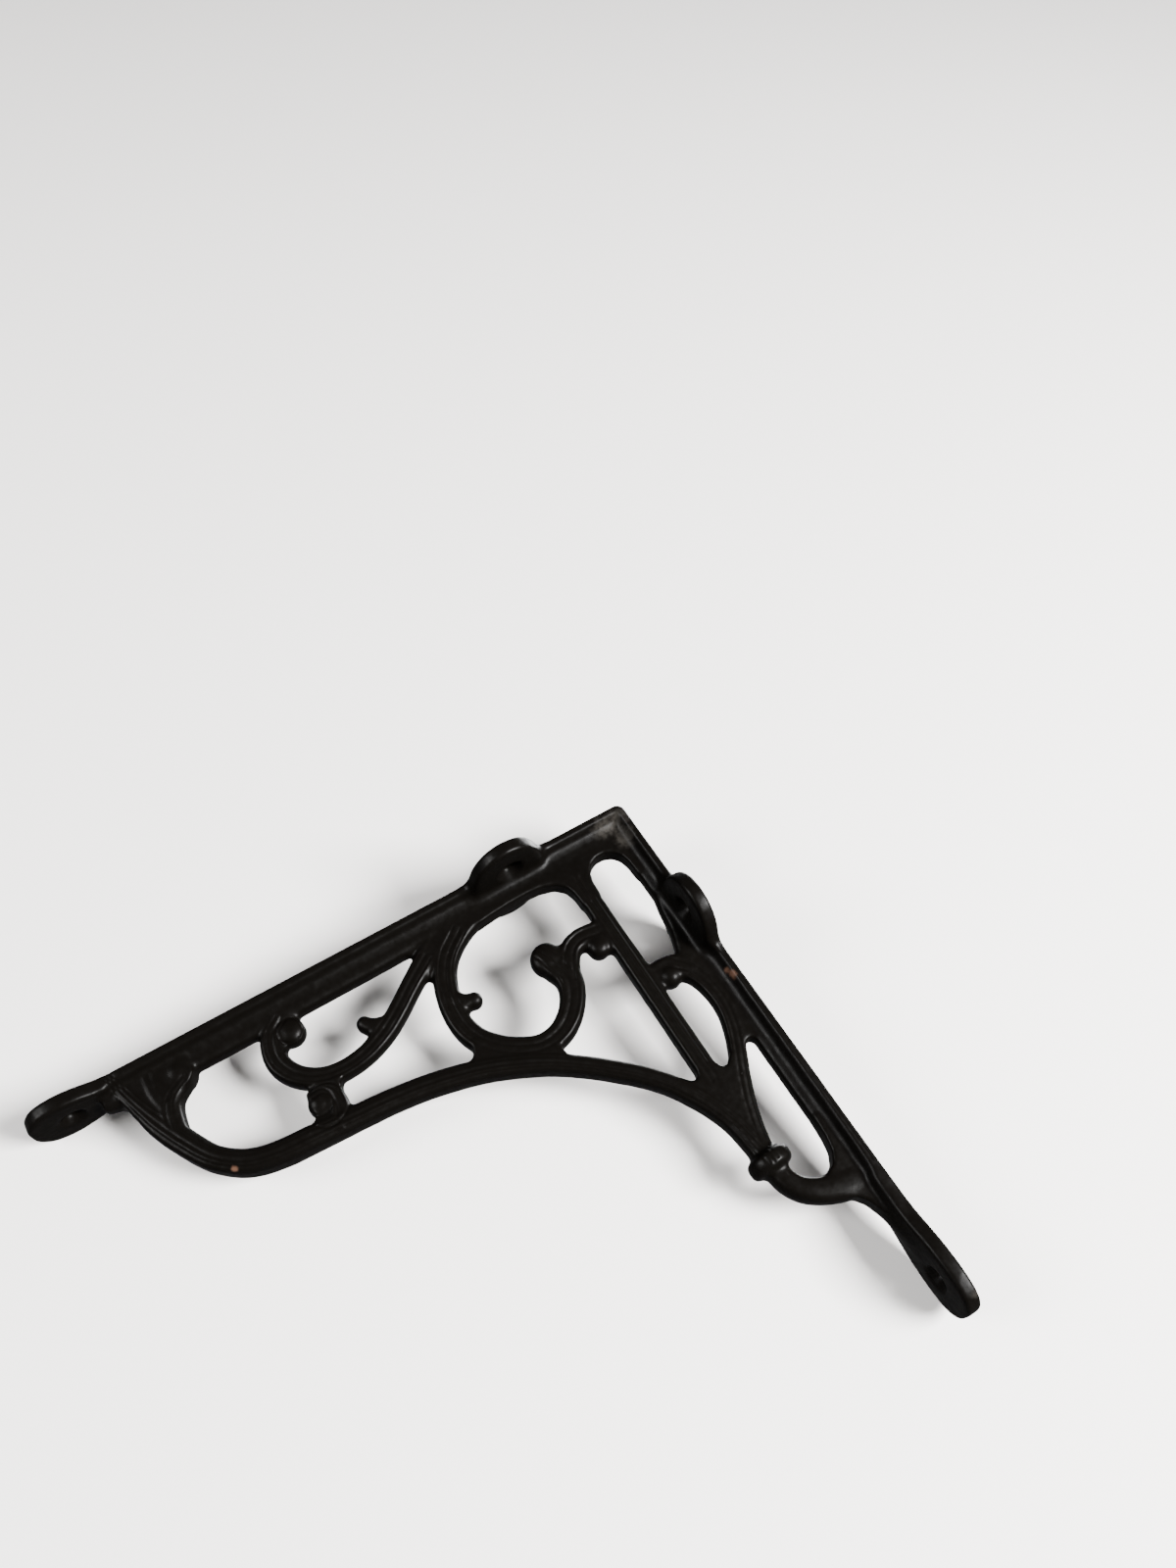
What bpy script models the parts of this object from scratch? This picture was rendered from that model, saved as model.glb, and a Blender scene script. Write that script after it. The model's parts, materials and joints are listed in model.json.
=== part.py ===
"""Ornate cast iron shelf bracket, one casting, modelled in metres with +Z up.

The shelf arm runs along +X with its flat face up, the wall arm hangs down with its flat
face on X = 0. The casting is the same on both faces, so Y = 0 is its middle plane.
Places on the casting are written as (along the shelf arm, below the shelf face) in mm.
"""
import math

import bmesh
import bpy
from mathutils import Matrix, Vector

MM = 0.001                  # one millimetre in metres
MERGE = 0.00001             # corners closer than this, in metres, are one corner

# Sizes of the casting, in mm
ORIGIN_DROP = 90.0          # the wall mount and origin lie this far below the shelf face
FLANGE_HALF = 6.7           # half width of both flat outer flanges
FLANGE_EDGE = 2.5           # thickness of the flange at its edge
SHELF_RIB = 9.4             # depth of the shelf arm, flange and rib together
WALL_RIB = 7.3              # depth of the wall arm
RIB_HALF = 3.1              # half thickness of the rib under the flange
CORNER_ROUND = 2.5          # rounding of the outer corner
PAD_THICK = 4.3             # thickness of tongues and ears
EAR_PLACE = 44.0            # corner to the screw holes of the ears
EAR_HOLE_OUT = 9.7          # middle plane to the screw holes of the ears
SHELF_HOLE = 189.5          # wall face to the screw hole of the shelf tongue
WALL_HOLE = 168.8           # shelf face to the screw hole of the wall tongue
HOLE_RADIUS = 2.4
SINK_RADIUS = 4.4
CUT_PAST = 0.8              # how far the countersink's cone runs on past the pad
ARRIS = 0.5                 # small chamfer along the flange's edges
RAIL_PLACE = 25.3           # middle line of the straight inner rail
RAIL_WIDE = 6.1
RAIL_HALF = 3.1
RAIL_TOP = 4.0              # the rail's ends, inside the shelf arm and the collar
RAIL_FOOT = 114.0
COLLAR_PLACE = (24.9, 119.7)
COLLAR_RADIUS = 6.5
COLLAR_HALF = 2.5
COLLAR_SIDES = 24
HOLE_SIDES = 18
KNOB_SIDES = 14
KNOB_RINGS = 8
RING_STEP = 5.2             # spacing of the rings along the scrolls
PAINT_COLOUR = (0.012, 0.012, 0.013, 1.0)
PAINT_ROUGHNESS = 0.4

# Upper half of a scroll's section, as shares of half width and half thickness. The fluted one has a
# shallow flute between two arrises, the rounded one is crowned; both are the same on the other face.
FLUTED = [(1.0, 0.38), (0.92, 0.82), (0.50, 1.0), (0.0, 0.88), (-0.50, 1.0), (-0.92, 0.82), (-1.0, 0.38)]
ROUNDED = [(1.0, 0.38), (0.86, 0.78), (0.48, 0.95), (0.0, 1.0), (-0.48, 0.95), (-0.86, 0.78), (-1.0, 0.38)]

# Scrolls: (along, below, width, half thickness) along each middle line
OUTER_BAR = [
    (175.6, 1.6, 4.4, 3.6), (174.7, 4.6, 4.5, 4.2), (173.4, 8.6, 4.6, 4.4), (171.3, 14.1, 5.4, 4.4),
    (168.4, 20.5, 7.0, 4.4), (164.1, 28.8, 7.0, 4.4), (158.8, 37.0, 6.6, 4.6), (151.4, 42.6, 6.7, 4.7),
    (143.1, 45.0, 6.7, 4.8), (133.0, 45.9, 6.7, 4.8), (122.0, 46.8, 6.4, 4.5), (110.0, 47.8, 6.2, 4.2),
    (100.0, 49.2, 6.1, 4.1), (90.1, 51.4, 6.0, 4.1), (80.1, 54.5, 5.9, 4.1), (70.8, 58.7, 5.7, 4.1),
    (62.8, 63.2, 5.4, 4.1), (54.4, 69.3, 5.2, 4.1), (48.5, 74.3, 5.2, 4.1), (42.7, 79.6, 5.2, 4.1),
    (36.9, 86.3, 5.0, 4.1), (32.2, 94.1, 4.9, 4.0), (29.4, 100.0, 4.9, 3.9), (27.5, 105.5, 5.1, 3.8),
    (26.2, 111.5, 5.7, 3.8), (25.3, 118.5, 6.2, 3.7)]
TIP_CURL = [
    (166.0, 25.5, 7.0, 4.3), (165.2, 18.6, 6.8, 4.3), (162.8, 14.2, 5.6, 4.2),
    (158.8, 11.8, 4.6, 4.1)]
TIP_STEM = [(165.0, 18.0, 3.0, 4.2), (166.3, 11.2, 3.6, 4.6), (166.0, 4.6, 4.2, 4.3), (165.8, 1.6, 4.6, 3.9)]
LONG_SCROLL = [
    (61.0, 4.2, 6.0, 2.4), (66.0, 5.6, 6.6, 2.9), (73.5, 9.6, 6.8, 3.1), (81.2, 14.7, 6.6, 3.1),
    (88.3, 19.5, 6.0, 3.1), (94.6, 24.2, 5.9, 3.1), (101.2, 28.3, 5.9, 3.1),
    (108.2, 31.2, 5.5, 3.1), (115.0, 32.3, 5.3, 3.1), (121.0, 31.8, 5.4, 3.2),
    (126.0, 29.7, 5.7, 3.3), (130.0, 26.0, 6.1, 3.4), (132.3, 21.2, 6.5, 3.5),
    (132.3, 16.4, 6.5, 3.5), (130.7, 12.2, 6.2, 3.5), (127.6, 9.6, 5.4, 3.4)]
LONG_SPUR = [
    (97.0, 26.8, 5.6, 2.9), (100.6, 26.3, 5.6, 3.0), (103.4, 25.0, 4.8, 3.0),
    (105.2, 23.4, 4.2, 2.9)]
BIG_SCROLL = [
    (49.0, 7.0, 5.2, 2.2), (56.0, 7.6, 6.0, 2.8), (62.5, 9.4, 6.8, 3.1), (68.5, 12.2, 7.1, 3.1),
    (73.6, 16.2, 7.1, 3.1), (77.3, 21.4, 7.0, 3.1), (79.6, 27.6, 6.9, 3.1), (80.6, 34.0, 6.8, 3.1),
    (80.2, 40.0, 6.8, 3.1),
    (78.0, 45.6, 6.8, 3.2), (74.0, 50.4, 6.9, 3.3), (68.8, 54.2, 6.9, 3.3), (63.0, 56.5, 6.9, 3.3),
    (57.2, 56.1, 7.0, 3.3), (52.3, 53.6, 7.3, 3.3), (48.5, 49.8, 7.5, 3.3), (46.0, 45.4, 7.9, 3.4),
    (45.2, 40.8, 8.6, 3.5), (46.4, 36.6, 9.2, 3.7), (47.6, 33.0, 8.0, 3.6)]
BIG_SPUR = [(80.0, 25.6, 5.4, 2.9), (78.9, 29.6, 5.4, 3.0), (76.8, 32.2, 4.8, 3.0), (74.6, 33.0, 4.4, 2.9)]
RAIL_LEAF = [
    (45.2, 43.6, 6.6, 3.0), (42.7, 38.0, 6.6, 3.1), (39.6, 34.2, 6.4, 3.1),
    (35.6, 32.8, 6.4, 3.1), (31.6, 33.2, 6.6, 3.0), (28.6, 33.8, 6.6, 2.8), (25.6, 34.3, 6.6, 2.2)]
SIDE_SCROLL = [
    (25.0, 56.2, 7.6, 2.2), (21.8, 55.8, 7.9, 2.8), (18.6, 55.6, 8.0, 3.1),
    (14.8, 56.3, 7.6, 3.2), (12.0, 59.2, 6.2, 3.1),
    (10.3, 63.8, 5.1, 3.0), (9.4, 70.0, 4.7, 3.0), (9.7, 76.0, 4.7, 3.0), (11.3, 82.2, 4.9, 3.0),
    (14.0, 88.3, 5.0, 3.0), (17.3, 94.8, 5.0, 3.0), (20.2, 101.4, 5.0, 3.0), (22.5, 108.2, 5.0, 3.0),
    (24.2, 115.0, 5.2, 3.0)]
SIDE_SWELL = [
    (4.8, 30.0, 4.0, 2.9), (5.9, 38.0, 5.2, 3.0), (7.0, 46.0, 5.6, 3.0), (9.6, 54.5, 5.6, 3.0),
    (11.4, 60.0, 5.0, 2.9)]
TAIL = [
    (25.2, 117.5, 6.2, 3.8), (24.9, 122.4, 6.3, 3.9), (24.0, 126.6, 6.3, 4.0), (21.8, 130.4, 6.4, 4.0),
    (18.0, 133.3, 6.9, 4.0), (13.4, 135.1, 7.9, 3.9), (8.4, 136.2, 9.0, 3.7), (3.6, 136.6, 9.4, 3.5)]
TAIL_RIDGE = [(4.8, 137.0, 4.6, 2.6), (4.6, 145.3, 3.4, 2.2), (3.9, 153.3, 2.4, 1.6), (3.0, 160.3, 1.6, 0.8)]
BRACE_CURL = [
    (124.4, 47.0, 8.0, 4.1), (122.9, 43.6, 5.6, 4.2), (122.3, 40.4, 5.2, 4.2), (122.9, 37.4, 5.2, 4.1),
    (124.8, 35.6, 4.6, 3.9), (127.0, 35.6, 3.6, 3.7)]

# Balls and rounded ends: (along, below, radius, half thickness)
KNOBS = [
    (125.3, 13.7, 4.1, 3.9),        # end of the long scroll
    (127.0, 38.2, 3.5, 4.3),        # eye of the curl on the brace
    (47.6, 33.4, 5.2, 4.1),         # end of the big scroll
    (31.8, 38.2, 3.3, 3.7),         # curl of the leaf on the rail
    (18.0, 58.0, 3.2, 3.9),         # knot on the wall side of the rail
    (105.4, 22.8, 2.2, 3.1),        # tips of the two spurs
    (73.5, 33.3, 2.3, 2.9),
    (158.9, 8.6, 3.7, 4.5),         # leaf curled over at the tip of the brace
    (158.2, 11.3, 2.8, 3.9)]

# Webs that fill the crotches: outlines in (along, below)
CORNER_WEB = [
    (3, 3), (72, 3), (72, 10), (66, 11.6), (60, 12.2), (54, 11.5), (48, 11.1), (42, 11.0), (37, 11.4),
    (32.8, 12.8), (30.0, 15.3), (28.9, 18.8), (28.6, 23.5), (22.1, 23.5), (21.9, 18.4), (20.9, 15.0),
    (18.8, 12.4), (16.2, 11.3), (13.2, 11.3), (10.4, 12.5), (8.5, 14.9), (7.7, 18.4), (7.5, 23.5), (3, 23.5)]
TIP_WEB = [
    (154.4, 3.2), (180.8, 3.2), (178.4, 4.9), (176.8, 6.6), (176.0, 8.8), (174.6, 11.5), (170.8, 16),
    (168.0, 22), (164.4, 21), (162.6, 16.6), (160.2, 13.8), (156.4, 12.6), (154.6, 10.6)]
CURL_WEB = [
    (118.6, 46.6), (121.4, 43.4), (121.0, 38.4), (119.6, 33.2), (128.8, 33.0), (130.2, 42.3),
    (132.4, 46.4)]
SIDE_WEB = [
    (4.5, 48), (10.8, 52), (12.6, 56), (10.6, 62), (9.6, 70), (9.9, 77), (11.4, 83), (13.2, 88.4),
    (11.4, 88.0), (9.6, 86.7), (8.0, 86.9), (7.0, 88.6), (6.4, 91), (4.5, 91)]
FOOT_WEB = [
    (16.6, 88.2), (18.6, 90.2), (20.2, 90.7), (21.6, 89.8), (22.4, 87.6), (28.2, 87.2), (28.9, 89.2),
    (30.2, 89.8), (31.8, 88.8), (34.6, 85.4), (36.0, 88.0), (31.6, 95.6), (28.2, 103.5), (26.4, 111),
    (23.4, 111), (20.6, 103), (17.0, 95.5), (14.2, 89.5)]
BASE_WEB = [
    (58.8, 60.4), (63, 57), (70, 52.5), (76.5, 46.5), (80.4, 44.6), (81.3, 47.2), (82.2, 49.4),
    (83.9, 50.4), (87.0, 50.0), (87.0, 53.0), (76.0, 56.8), (66.0, 61.8), (60.6, 65.0), (58.5, 62.6)]
TAIL_WEB = [
    (3.5, 116), (7.0, 116), (7.3, 122), (8.2, 126.6), (10.2, 129.9), (13.4, 131.2), (13.4, 138.6),
    (10.2, 141.0), (8.2, 144.2), (7.2, 148.4), (3.5, 149.4)]

# Each web's outline and half thickness
WEBS = {
    "corner_web": (CORNER_WEB, 3.0), "side_web": (SIDE_WEB, 2.7), "foot_web": (FOOT_WEB, 2.85),
    "base_web": (BASE_WEB, 2.7), "tail_web": (TAIL_WEB, 2.7), "tip_web": (TIP_WEB, 3.95),
    "curl_web": (CURL_WEB, 3.62)}

# Plan of each arm: (place along the arm, half width, thickness at the edge, rib). The rib is 1 where
# the full rib stands under the flange and 0 where the pad is flat.
EARS = [
    (66.0, 6.7, 2.5, 1.0), (60.6, 6.9, 2.6, 1.0), (57.9, 7.8, 3.2, 1.0), (56.4, 10.2, 4.1, 1.0),
    (55.2, 13.7, 4.3, 1.0), (53.0, 17.2, 4.3, 1.0), (49.4, 20.2, 4.3, 1.0), (44.6, 21.4, 4.3, 1.0),
    (39.9, 20.4, 4.3, 1.0), (36.4, 17.5, 4.3, 1.0), (34.2, 13.9, 4.3, 1.0), (32.8, 10.3, 4.1, 1.0),
    (31.4, 7.8, 3.2, 1.0), (29.0, 6.9, 2.6, 1.0), (25.6, 6.7, 2.5, 1.0)]
SHELF_TONGUE = [
    (201.3, 2.6, 4.3, 0.0), (200.7, 4.8, 4.3, 0.0), (199.3, 7.2, 4.3, 0.0), (196.9, 9.3, 4.3, 0.0),
    (193.2, 10.4, 4.3, 0.0), (189.0, 10.4, 4.3, 0.0), (184.8, 9.4, 4.3, 0.0), (181.0, 7.9, 4.3, 0.0),
    (177.6, 7.0, 4.0, 0.15), (171.0, 6.8, 3.0, 1.0)]
WALL_TONGUE = [
    (180.5, 2.6, 4.3, 0.0), (180.0, 4.8, 4.3, 0.0), (178.6, 7.3, 4.3, 0.0), (176.2, 9.2, 4.3, 0.0),
    (172.4, 10.3, 4.3, 0.0), (167.2, 10.5, 4.3, 0.0), (161.6, 9.9, 4.3, 0.1), (156.4, 8.5, 4.3, 0.3),
    (151.6, 7.3, 4.3, 0.5), (146.6, 6.8, 4.0, 0.7), (139.0, 6.6, 3.2, 0.9), (131.0, 6.6, 2.6, 1.0)]


def remove_everything():
    for item in list(bpy.data.objects):
        bpy.data.objects.remove(item, do_unlink=True)


def new_collection(name):
    group = bpy.data.collections.new(name)
    bpy.context.scene.collection.children.link(group)
    return group


def place(along, below, out=0.0):
    """A place on the casting in metres."""
    return Vector((along, out, ORIGIN_DROP - below)) * MM


def link_mesh(name, mesh, group):
    item = bpy.data.objects.new(name, mesh)
    group.objects.link(item)
    return item


def bake(target):
    bpy.context.view_layer.update()
    mesh = bpy.data.meshes.new_from_object(target.evaluated_get(bpy.context.evaluated_depsgraph_get()))
    old = target.data
    target.modifiers.clear()
    target.data = mesh
    bpy.data.meshes.remove(old)


def smooth_through(points, spacing):
    """Even samples of a smooth curve that passes through the points (any number of values each)."""
    samples = []
    last = len(points) - 1
    for k in range(last):
        p0, p1, p2, p3 = points[max(k - 1, 0)], points[k], points[k + 1], points[min(k + 2, last)]
        length = math.hypot(p2[0] - p1[0], p2[1] - p1[1])
        steps = max(1, round(length / spacing))
        for s in range(steps):
            t = s / steps
            samples.append([0.5 * (2 * b + (c - a) * t + (2 * a - 5 * b + 4 * c - d) * t * t
                                   + (3 * b - a - 3 * c + d) * t ** 3)
                            for a, b, c, d in zip(p0, p1, p2, p3)])
    samples.append(list(points[last]))
    return samples


def scroll(name, points, group, section=FLUTED, spacing=RING_STEP):
    """A bar along a smooth line whose width and thickness change on their own."""
    line = smooth_through(points, spacing)
    outline = section + [(-a, -b) for a, b in section]
    form = bmesh.new()
    rings = []
    for k, (along, below, width, half) in enumerate(line):
        a = line[max(k - 1, 0)]
        b = line[min(k + 1, len(line) - 1)]
        run = Vector((b[0] - a[0], b[1] - a[1])).normalized()
        ring = []
        for side, face in outline:
            ring.append(form.verts.new(place(along - run.y * side * width / 2,
                                             below + run.x * side * width / 2, face * half)))
        rings.append(ring)
    count = len(outline)
    for lower, upper in zip(rings, rings[1:]):
        for k in range(count):
            form.faces.new((lower[k], lower[(k + 1) % count], upper[(k + 1) % count], upper[k]))
    form.faces.new(list(reversed(rings[0])))
    form.faces.new(rings[-1])
    bmesh.ops.recalc_face_normals(form, faces=form.faces)
    mesh = bpy.data.meshes.new(name)
    form.to_mesh(mesh)
    form.free()
    return link_mesh(name, mesh, group)


def knob(name, along, below, radius, half, group):
    """A ball flattened or drawn out across the casting."""
    form = bmesh.new()
    bmesh.ops.create_uvsphere(form, u_segments=KNOB_SIDES, v_segments=KNOB_RINGS, radius=1.0)
    scale = Matrix.Diagonal((radius * MM, half * MM, radius * MM, 1.0))
    bmesh.ops.transform(form, matrix=Matrix.Translation(place(along, below)) @ scale, verts=form.verts)
    mesh = bpy.data.meshes.new(name)
    form.to_mesh(mesh)
    form.free()
    return link_mesh(name, mesh, group)


def turned(name, profile, matrix, group, sides):
    """A turned form: a profile of (height, radius) in mm, turned about Z by a Screw modifier."""
    mesh = bpy.data.meshes.new(name)
    points = [(0.0, profile[0][0])] + [(r, h) for h, r in profile] + [(0.0, profile[-1][0])]
    mesh.from_pydata([(r * MM, 0.0, h * MM) for r, h in reversed(points)],
                     [(k, k + 1) for k in range(len(points) - 1)], [])
    item = link_mesh(name, mesh, group)
    screw = item.modifiers.new("turn", "SCREW")
    screw.steps = sides
    screw.render_steps = sides
    screw.use_merge_vertices = True
    screw.merge_threshold = MERGE
    bake(item)
    form = bmesh.new()
    form.from_mesh(item.data)
    bmesh.ops.remove_doubles(form, verts=form.verts, dist=MERGE)
    bmesh.ops.transform(form, matrix=matrix, verts=form.verts)
    bmesh.ops.recalc_face_normals(form, faces=form.faces)
    form.to_mesh(item.data)
    form.free()
    return item


def web(name, outline, half_thick, group):
    """A flat piece between the scrolls: a filled curve, extruded to both faces."""
    curve = bpy.data.curves.new(name, "CURVE")
    curve.dimensions = "2D"
    curve.fill_mode = "BOTH"
    curve.extrude = half_thick * MM
    spline = curve.splines.new("POLY")
    spline.points.add(len(outline) - 1)
    for point, (x, y) in zip(spline.points, outline):
        point.co = (x * MM, y * MM, 0.0, 1.0)
    spline.use_cyclic_u = True
    maker = bpy.data.objects.new(name + "_curve", curve)
    group.objects.link(maker)
    bpy.context.view_layer.update()
    mesh = bpy.data.meshes.new_from_object(maker.evaluated_get(bpy.context.evaluated_depsgraph_get()))
    bpy.data.objects.remove(maker, do_unlink=True)
    form = bmesh.new()
    form.from_mesh(mesh)
    bmesh.ops.remove_doubles(form, verts=form.verts, dist=MERGE)
    bmesh.ops.transform(form, matrix=FACE_PLANE, verts=form.verts)
    bmesh.ops.recalc_face_normals(form, faces=form.faces)
    form.to_mesh(mesh)
    form.free()
    mesh.materials.clear()
    return link_mesh(name, mesh, group)


def frame_matrix(x_axis, y_axis, z_axis, origin):
    """Turns the local axes of a plate into the given directions, with its origin in metres."""
    columns = Matrix((x_axis, y_axis, z_axis)).transposed().to_4x4()
    return Matrix.Translation(origin) @ columns


# local axes: along the shelf arm, below the shelf face, thickness across the casting
FACE_PLANE = frame_matrix((1, 0, 0), (0, 0, -1), (0, 1, 0), place(0, 0))


def arm_section(width, edge, rib, depth):
    """Half of an arm's section as (out, depth): flange edge, broad cove, rib with a rounded foot."""
    flat = width - ARRIS - 0.1
    full = [(RIB_HALF + 2.2, edge + 0.4), (RIB_HALF + 1.1, edge + 1.1),
            (RIB_HALF + 0.2, min(max(depth - 3.4, edge + 2.2), depth - 1.3)),
            (RIB_HALF, min(max(depth - 1.6, edge + 2.8), depth - 0.8)),
            (RIB_HALF - 0.6, depth - 0.4), (RIB_HALF - 1.5, depth)]
    plain = [(flat * share, edge) for share in (0.80, 0.64, 0.50, 0.38, 0.26, 0.14)]
    outer = [(width - ARRIS, 0.0), (width, ARRIS), (width, edge - ARRIS), (flat, edge)]
    inner = [(a * rib + c * (1 - rib), b * rib + d * (1 - rib)) for (a, b), (c, d) in zip(full, plain)]
    return outer + inner


def angle_frame(name, group):
    """Both arms with their tongues and ears as one body, turned round a mitre at the corner."""
    rings = []
    for along, width, edge, rib in SHELF_TONGUE + EARS:
        rings.append([(along, d, w) for w, d in arm_section(width, edge, rib, SHELF_RIB)])
    on_shelf = arm_section(FLANGE_HALF, FLANGE_EDGE, 1.0, SHELF_RIB)
    on_wall = arm_section(FLANGE_HALF, FLANGE_EDGE, 1.0, WALL_RIB)
    r = CORNER_ROUND
    rings.append([(max(r, b), a, w) for (w, a), (_, b) in zip(on_shelf, on_wall)])
    rings.append([(b, a, w) if a >= r else (r - (r - a) * math.sqrt(0.5), r - (r - a) * math.sqrt(0.5), w)
                  for (w, a), (_, b) in zip(on_shelf, on_wall)])
    rings.append([(b, max(r, a), w) for (w, a), (_, b) in zip(on_shelf, on_wall)])
    for below, width, edge, rib in reversed(WALL_TONGUE + EARS):
        rings.append([(d, below, w) for w, d in arm_section(width, edge, rib, WALL_RIB)])
    form = bmesh.new()
    loops = []
    for ring in rings:
        full = ring + [(u, v, -w) for u, v, w in reversed(ring)]
        loops.append([form.verts.new(place(u, v, w)) for u, v, w in full])
    count = len(loops[0])
    for lower, upper in zip(loops, loops[1:]):
        for k in range(count):
            form.faces.new((lower[k], lower[(k + 1) % count], upper[(k + 1) % count], upper[k]))
    form.faces.new(list(reversed(loops[0])))
    form.faces.new(loops[-1])
    bmesh.ops.remove_doubles(form, verts=form.verts, dist=MERGE)
    bmesh.ops.recalc_face_normals(form, faces=form.faces)
    mesh = bpy.data.meshes.new(name)
    form.to_mesh(mesh)
    form.free()
    return link_mesh(name, mesh, group)


def join(target, tools):
    """Unites the tools with the target, one after another."""
    for tool in tools:
        step = target.modifiers.new("join", "BOOLEAN")
        step.operation = "UNION"
        step.solver = "EXACT"
        step.object = tool
        bake(target)
        bpy.data.objects.remove(tool, do_unlink=True)


def cut(target, tools):
    """Takes the tools out of the target."""
    for tool in tools:
        tool.hide_render = True
        tool.display_type = "WIRE"
        step = target.modifiers.new("cut", "BOOLEAN")
        step.operation = "DIFFERENCE"
        step.solver = "EXACT"
        step.object = tool
        bake(target)
        bpy.data.objects.remove(tool, do_unlink=True)


def screw_hole(name, matrix, group):
    """Cutter for one countersunk hole, its mouth on the inner face of the pad."""
    mouth = SINK_RADIUS + CUT_PAST
    profile = [(-CUT_PAST, HOLE_RADIUS), (PAD_THICK - (SINK_RADIUS - HOLE_RADIUS), HOLE_RADIUS),
               (PAD_THICK + CUT_PAST, mouth), (PAD_THICK + 3 * CUT_PAST, mouth)]
    return turned(name, profile, matrix, group, HOLE_SIDES)


def tidy_mesh(mesh):
    """Merges corners that fall together and drops what the cuts leave loose."""
    form = bmesh.new()
    form.from_mesh(mesh)
    bmesh.ops.remove_doubles(form, verts=form.verts, dist=MERGE)
    bmesh.ops.dissolve_degenerate(form, edges=form.edges, dist=MERGE)
    loose = [edge for edge in form.edges if not edge.link_faces]
    bmesh.ops.delete(form, geom=loose, context="EDGES")
    form.to_mesh(mesh)
    form.free()


def main():
    remove_everything()
    home = new_collection("shelf_bracket")
    tools = new_collection("cutters")

    body = angle_frame("bracket", home)
    rail = [(RAIL_PLACE, drop, RAIL_WIDE, RAIL_HALF) for drop in (RAIL_TOP, RAIL_FOOT)]
    pieces = [
        scroll("rail", rail, home, spacing=RAIL_FOOT),
        scroll("outer_bar", OUTER_BAR, home),
        scroll("big_scroll", BIG_SCROLL, home),
        scroll("long_scroll", LONG_SCROLL, home),
        scroll("rail_leaf", RAIL_LEAF, home),
        scroll("side_scroll", SIDE_SCROLL, home),
        scroll("side_swell", SIDE_SWELL, home, spacing=6.0),
        scroll("tail", TAIL, home, section=ROUNDED),
        scroll("tail_ridge", TAIL_RIDGE, home, section=ROUNDED, spacing=8.0),
        scroll("long_spur", LONG_SPUR, home, section=ROUNDED, spacing=2.5),
        scroll("big_spur", BIG_SPUR, home, section=ROUNDED, spacing=2.5),
        scroll("tip_curl", TIP_CURL, home, spacing=3.5),
        scroll("tip_stem", TIP_STEM, home, spacing=4.0),
        scroll("brace_curl", BRACE_CURL, home, spacing=3.0)]
    for number, (along, below, radius, half) in enumerate(KNOBS):
        pieces.append(knob("knob_%d" % number, along, below, radius, half, home))
    for name, (outline, half) in WEBS.items():
        pieces.append(web(name, outline, half, home))
    r, h = COLLAR_RADIUS, COLLAR_HALF
    profile = [(-h, r - 2.0), (-h + 0.6, r - 0.7), (-h / 3, r), (h / 3, r), (h - 0.6, r - 0.7), (h, r - 2.0)]
    pieces.append(turned("collar", profile, Matrix.Translation(place(*COLLAR_PLACE)), home, COLLAR_SIDES))
    join(body, pieces)

    holes = []
    down = frame_matrix((1, 0, 0), (0, -1, 0), (0, 0, -1), (0, 0, 0))
    inward = frame_matrix((0, 0, -1), (0, 1, 0), (1, 0, 0), (0, 0, 0))
    for along, out in ((SHELF_HOLE, 0.0), (EAR_PLACE, EAR_HOLE_OUT), (EAR_PLACE, -EAR_HOLE_OUT)):
        holes.append(screw_hole("shelf_hole", Matrix.Translation(place(along, 0.0, out)) @ down, tools))
    for below, out in ((WALL_HOLE, 0.0), (EAR_PLACE, EAR_HOLE_OUT), (EAR_PLACE, -EAR_HOLE_OUT)):
        holes.append(screw_hole("wall_hole", Matrix.Translation(place(0.0, below, out)) @ inward, tools))
    cut(body, holes)

    tidy_mesh(body.data)
    body.data.name = "bracket"

    paint = bpy.data.materials.new("cast_iron")
    paint.use_nodes = True
    shade = paint.node_tree.nodes["Principled BSDF"]
    shade.inputs["Base Color"].default_value = PAINT_COLOUR
    shade.inputs["Metallic"].default_value = 0.0
    shade.inputs["Roughness"].default_value = PAINT_ROUGHNESS
    body.data.materials.clear()
    body.data.materials.append(paint)


main()
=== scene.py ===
"""Ornate cast iron shelf bracket: the finished casting, its black paint, and the stage it is seen on.

Laid out as an add-on and run as a script. Places on the casting are written as (along the shelf
arm, below the shelf face) in mm, and sizes in the script are mm unless a name says otherwise.
"""

import json
import math

import bmesh
import bpy
from bpy.props import FloatProperty, FloatVectorProperty, IntProperty, PointerProperty
from mathutils import Matrix, Vector
from mathutils.kdtree import KDTree

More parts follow.
